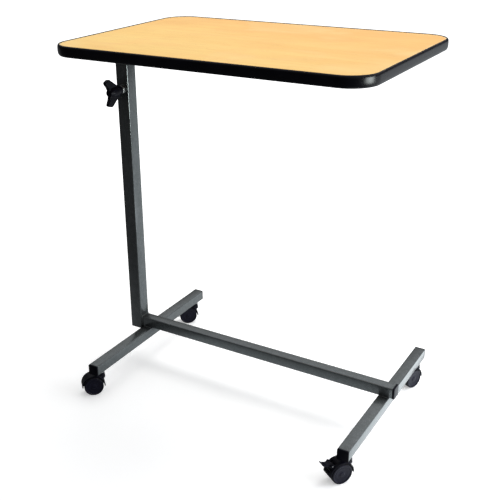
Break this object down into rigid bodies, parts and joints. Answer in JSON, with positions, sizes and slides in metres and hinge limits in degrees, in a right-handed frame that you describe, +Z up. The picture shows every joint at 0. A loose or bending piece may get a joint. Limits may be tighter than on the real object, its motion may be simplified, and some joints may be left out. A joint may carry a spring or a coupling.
{
  "type": "overbed table",
  "caption": "Overbed table: rounded wood-finish top on a telescoping square column with a side clamping knob, over a low H-shaped base on swivel casters.",
  "frame": {"origin": "on the floor plane, under the middle of the object's bounding box; the column's axis is at x -0.2915, y 0.0103", "axes": "+Z up; +X along the base from the column to the far foot; -Y is the side with the clamping knob"},
  "size_m": [0.611, 0.4307, 0.7114],
  "materials": {
    "frame_paint": "grey hammertone paint",
    "black_plastic": "satin black moulded",
    "wheel_plastic": "satin blue-black moulded",
    "beech_laminate": "satin laminate with a pale beech print",
    "board_core": "raw chipboard",
    "edge_pvc": "glossy black PVC",
    "zinc_steel": "bright zinc plate",
    "nylon": "dull nylon"
  },
  "bodies": {
    "base_frame": {"column_outer_tube": "frame_paint", "column_bottom_plug": "black_plastic", "column_top_bush": "nylon", "clamp_boss": "zinc_steel", "spine_tube": "frame_paint", "spine_end_cap": "black_plastic", "column_foot_tube": "frame_paint", "far_foot_tube": "frame_paint", "column_foot_front_plug": "black_plastic", "column_foot_rear_plug": "black_plastic", "far_foot_front_plug": "black_plastic", "far_foot_rear_plug": "black_plastic", "caster_socket_front_left": "zinc_steel", "caster_socket_front_right": "zinc_steel", "caster_socket_rear_left": "zinc_steel", "caster_socket_rear_right": "zinc_steel"},
    "table_top": {"inner_tube": "frame_paint", "inner_tube_glide": "nylon", "support_rail": "frame_paint", "rail_plug_left": "black_plastic", "rail_plug_right": "black_plastic", "cross_strap_near_column": "frame_paint", "cross_strap_far": "frame_paint", "tabletop_board": "board_core", "tabletop_laminate": "beech_laminate", "edge_moulding": "edge_pvc", "board_screw_1": "zinc_steel", "board_screw_2": "zinc_steel", "board_screw_3": "zinc_steel", "board_screw_4": "zinc_steel"},
    "clamp_pad": {"clamp_pad": "nylon"},
    "clamp_screw": {"clamp_knob": "black_plastic", "clamp_stud": "zinc_steel"},
    "caster_front_left": {"caster_stem_front_left": "zinc_steel", "caster_hood_front_left": "black_plastic", "caster_axle_front_left": "zinc_steel"},
    "wheel_outer_front_left": {"caster_wheel_outer_front_left": "wheel_plastic"},
    "wheel_inner_front_left": {"caster_wheel_inner_front_left": "wheel_plastic"},
    "caster_front_right": {"caster_stem_front_right": "zinc_steel", "caster_hood_front_right": "black_plastic", "caster_axle_front_right": "zinc_steel", "brake_pin_front_right": "zinc_steel"},
    "wheel_outer_front_right": {"caster_wheel_outer_front_right": "wheel_plastic"},
    "wheel_inner_front_right": {"caster_wheel_inner_front_right": "wheel_plastic"},
    "brake_lever_front_right": {"brake_lever_front_right": "black_plastic"},
    "caster_rear_left": {"caster_stem_rear_left": "zinc_steel", "caster_hood_rear_left": "black_plastic", "caster_axle_rear_left": "zinc_steel"},
    "wheel_outer_rear_left": {"caster_wheel_outer_rear_left": "wheel_plastic"},
    "wheel_inner_rear_left": {"caster_wheel_inner_rear_left": "wheel_plastic"},
    "caster_rear_right": {"caster_stem_rear_right": "zinc_steel", "caster_hood_rear_right": "black_plastic", "caster_axle_rear_right": "zinc_steel"},
    "wheel_outer_rear_right": {"caster_wheel_outer_rear_right": "wheel_plastic"},
    "wheel_inner_rear_right": {"caster_wheel_inner_rear_right": "wheel_plastic"}
  },
  "joints": [
    {"name": "height_slide", "type": "slide", "parent": "base_frame", "child": "table_top", "axis": [0, 0, 1], "range_m": [0, 0.36]},
    {"name": "clamp_travel", "type": "slide", "parent": "base_frame", "child": "clamp_pad", "axis": [0, -1, 0], "range_m": [0, 0.00255]},
    {"name": "knob_turn", "type": "hinge", "parent": "clamp_pad", "child": "clamp_screw", "pos_m": [-0.2915, -0.0037, 0.597], "axis": [0, -1, 0], "range_deg": [0, 720]},
    {"name": "caster_swivel_front_left", "type": "hinge", "parent": "base_frame", "child": "caster_front_left", "pos_m": [-0.2645, -0.1677, 0.048], "axis": [0, 0, 1], "continuous": true},
    {"name": "wheel_spin_outer_front_left", "type": "hinge", "parent": "caster_front_left", "child": "wheel_outer_front_left", "pos_m": [-0.27561, -0.17921, 0.02], "axis": [0.7193, -0.6947, 0], "continuous": true},
    {"name": "wheel_spin_inner_front_left", "type": "hinge", "parent": "caster_front_left", "child": "wheel_inner_front_left", "pos_m": [-0.27561, -0.17921, 0.02], "axis": [0.7193, -0.6947, 0], "continuous": true},
    {"name": "caster_swivel_front_right", "type": "hinge", "parent": "base_frame", "child": "caster_front_right", "pos_m": [0.2845, -0.1677, 0.048], "axis": [0, 0, 1], "continuous": true},
    {"name": "wheel_spin_outer_front_right", "type": "hinge", "parent": "caster_front_right", "child": "wheel_outer_front_right", "pos_m": [0.27532, -0.18081, 0.02], "axis": [0.8192, -0.5736, 0], "continuous": true},
    {"name": "wheel_spin_inner_front_right", "type": "hinge", "parent": "caster_front_right", "child": "wheel_inner_front_right", "pos_m": [0.27532, -0.18081, 0.02], "axis": [0.8192, -0.5736, 0], "continuous": true},
    {"name": "brake_press_front_right", "type": "hinge", "parent": "caster_front_right", "child": "brake_lever_front_right", "pos_m": [0.26484, -0.19577, 0.04029], "axis": [0.8192, -0.5736, 0], "range_deg": [0, 6], "stiffness_Nm_per_rad": 0.05},
    {"name": "caster_swivel_rear_left", "type": "hinge", "parent": "base_frame", "child": "caster_rear_left", "pos_m": [-0.2645, 0.1883, 0.048], "axis": [0, 0, 1], "continuous": true},
    {"name": "wheel_spin_outer_rear_left", "type": "hinge", "parent": "caster_rear_left", "child": "wheel_outer_rear_left", "pos_m": [-0.27639, 0.17759, 0.02], "axis": [0.6691, -0.7431, 0], "continuous": true},
    {"name": "wheel_spin_inner_rear_left", "type": "hinge", "parent": "caster_rear_left", "child": "wheel_inner_rear_left", "pos_m": [-0.27639, 0.17759, 0.02], "axis": [0.6691, -0.7431, 0], "continuous": true},
    {"name": "caster_swivel_rear_right", "type": "hinge", "parent": "base_frame", "child": "caster_rear_right", "pos_m": [0.2845, 0.1883, 0.048], "axis": [0, 0, 1], "continuous": true},
    {"name": "wheel_spin_outer_rear_right", "type": "hinge", "parent": "caster_rear_right", "child": "wheel_outer_rear_right", "pos_m": [0.27851, 0.17347, 0.02], "axis": [0.9272, -0.3746, 0], "continuous": true},
    {"name": "wheel_spin_inner_rear_right", "type": "hinge", "parent": "caster_rear_right", "child": "wheel_inner_rear_right", "pos_m": [0.27851, 0.17347, 0.02], "axis": [0.9272, -0.3746, 0], "continuous": true}
  ],
  "couplings": [
    {"joint": "clamp_travel", "follows": "knob_turn", "m_per_rad": 0.00019894}
  ]
}
